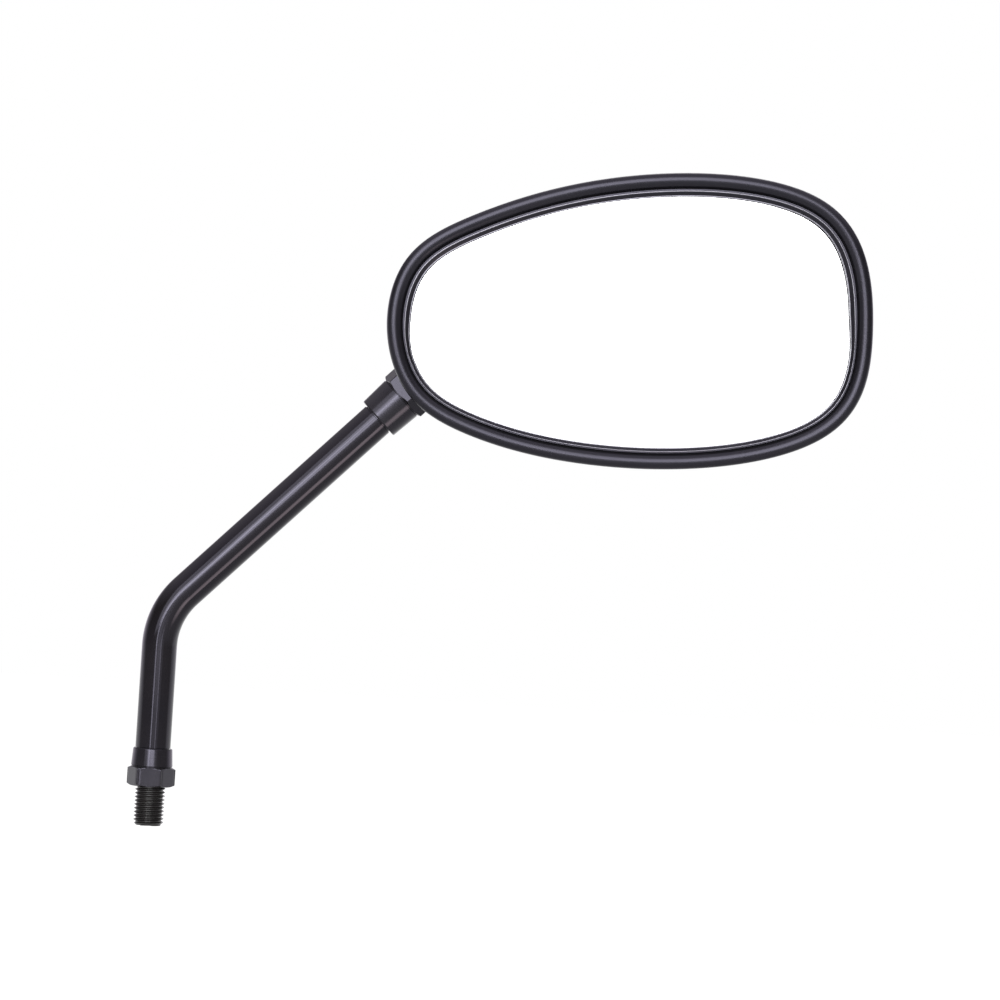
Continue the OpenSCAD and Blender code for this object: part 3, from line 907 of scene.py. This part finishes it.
def make_floor():
    bpy.ops.object.select_all(action="DESELECT")
    bpy.ops.mesh.primitive_plane_add(size=FLOOR_SIZE, location=(0.1, 0, FLOOR_Z))
    floor = bpy.context.object
    floor.name = "floor"
    floor.data.materials.append(stage_material("pale_floor", FLOOR_TONE, FLOOR_WHITE))


def make_world():
    """White for the camera; reflections see it bright behind the part and above, dim elsewhere."""
    world = bpy.data.worlds.new("studio")
    bpy.context.scene.world = world
    world.use_nodes = True
    tree = world.node_tree
    background = tree.nodes["Background"]
    path = tree.nodes.new("ShaderNodeLightPath")
    glossy = path.outputs["Is Glossy Ray"]
    towards = split_coordinate(tree, "Generated")
    back = ramp(tree, towards["Y"], BACK_SPAN, *BACK_LIGHT)
    fade = ramp(tree, towards["Z"], FADE_SPAN, 1.0, FADE_TO)
    above = ramp(tree, towards["Z"], ABOVE_SPAN, 0.0, ABOVE_LIGHT)
    mirrored = reckon(tree, "MAXIMUM", reckon(tree, "MULTIPLY", back, fade), above)
    unseen = blend(tree, glossy, SOFT_FILL, mirrored)
    tree.links.new(blend(tree, seen_white(tree, path), unseen, 1.0), background.inputs["Strength"])
    tree.links.new(blend_colours(tree, glossy, WHITE, MIRRORED_TINT), background.inputs["Color"])


def softbox(name, target, direction, distance, size, radiance, colour=(1, 1, 1), spread=180, lean=0):
    """Lamp that faces a point from an azimuth and elevation, with its power set by its brightness."""
    across, upward = (math.radians(angle) for angle in direction)
    level = math.cos(upward)
    away = Vector((math.sin(across) * level, -math.cos(across) * level, math.sin(upward)))
    width, height = size
    lamp = bpy.data.lights.new(name, "AREA")
    lamp.shape = "RECTANGLE"
    lamp.size = width
    lamp.size_y = height
    lamp.energy = radiance * math.pi * width * height
    lamp.color = colour
    lamp.spread = math.radians(spread)
    ob = bpy.data.objects.new(name, lamp)
    bpy.context.scene.collection.objects.link(ob)
    ob.location = Vector(target) + away * distance
    facing = away.to_track_quat("Z", "Y").to_matrix() @ Matrix.Rotation(lean, 3, "Z")
    ob.rotation_euler = facing.to_euler()
    ob.visible_camera = False


CAMERA_PLACE = (0.10985, -1.5, 0.1024)
SENSOR = 36
CAMERA_BACK_MM = 1500
FIELD_MM = 332.5


def make_camera():
    """Level camera before the part, rolled as far as the head is."""
    lean = HEAD_ROLL
    camera = bpy.data.cameras.new("camera")
    camera.sensor_width = SENSOR
    camera.lens = SENSOR * CAMERA_BACK_MM / FIELD_MM
    camera.clip_end = 50
    ob = bpy.data.objects.new("camera", camera)
    bpy.context.scene.collection.objects.link(ob)
    turn = Matrix((
        (math.cos(lean), -math.sin(lean), 0),
        (0, 0, -1),
        (math.sin(lean), math.cos(lean), 0),
    ))
    ob.matrix_world = Matrix.Translation(CAMERA_PLACE) @ turn.to_4x4()
    bpy.context.scene.camera = ob


HEAD_MIDDLE = (0.148, -0.02, 0.163)
ROD_MIDDLE = (0.045, 0, 0.1)
make_floor()
make_world()
# Each lamp: what it faces, its azimuth and elevation, its distance, size and brightness
softbox("key", HEAD_MIDDLE, (-10, 18), 2.3, (1.5, 1.5), 3.7)
softbox("key_rim", HEAD_MIDDLE, (-16, 22), 2.4, (2.5, 1.9), 1.7)
softbox("left_strip", HEAD_MIDDLE, (-19, 0), 2.1, (0.22, 1.0), 4.4)
softbox("right_strip", HEAD_MIDDLE, (11, 0), 2.1, (0.16, 1.0), 2.2)
softbox("front_fill", HEAD_MIDDLE, (1.5, 2.5), 2.6, (1.05, 0.75), 1.05)
softbox("wide_fill", HEAD_MIDDLE, (4, 2), 2.7, (2.4, 1.6), 0.45)
softbox(
    "low_warm", ROD_MIDDLE, (46, -34.5), 0.3, (0.11, 0.17), 0.17,
    colour=(1, 0.84, 0.74), spread=40, lean=-BEND_ANGLE,
)
softbox("back_fill", HEAD_MIDDLE, (172, 32), 2.2, (1.4, 1.4), 1.8)
make_camera()
bpy.context.scene.view_settings.view_transform = "Standard"
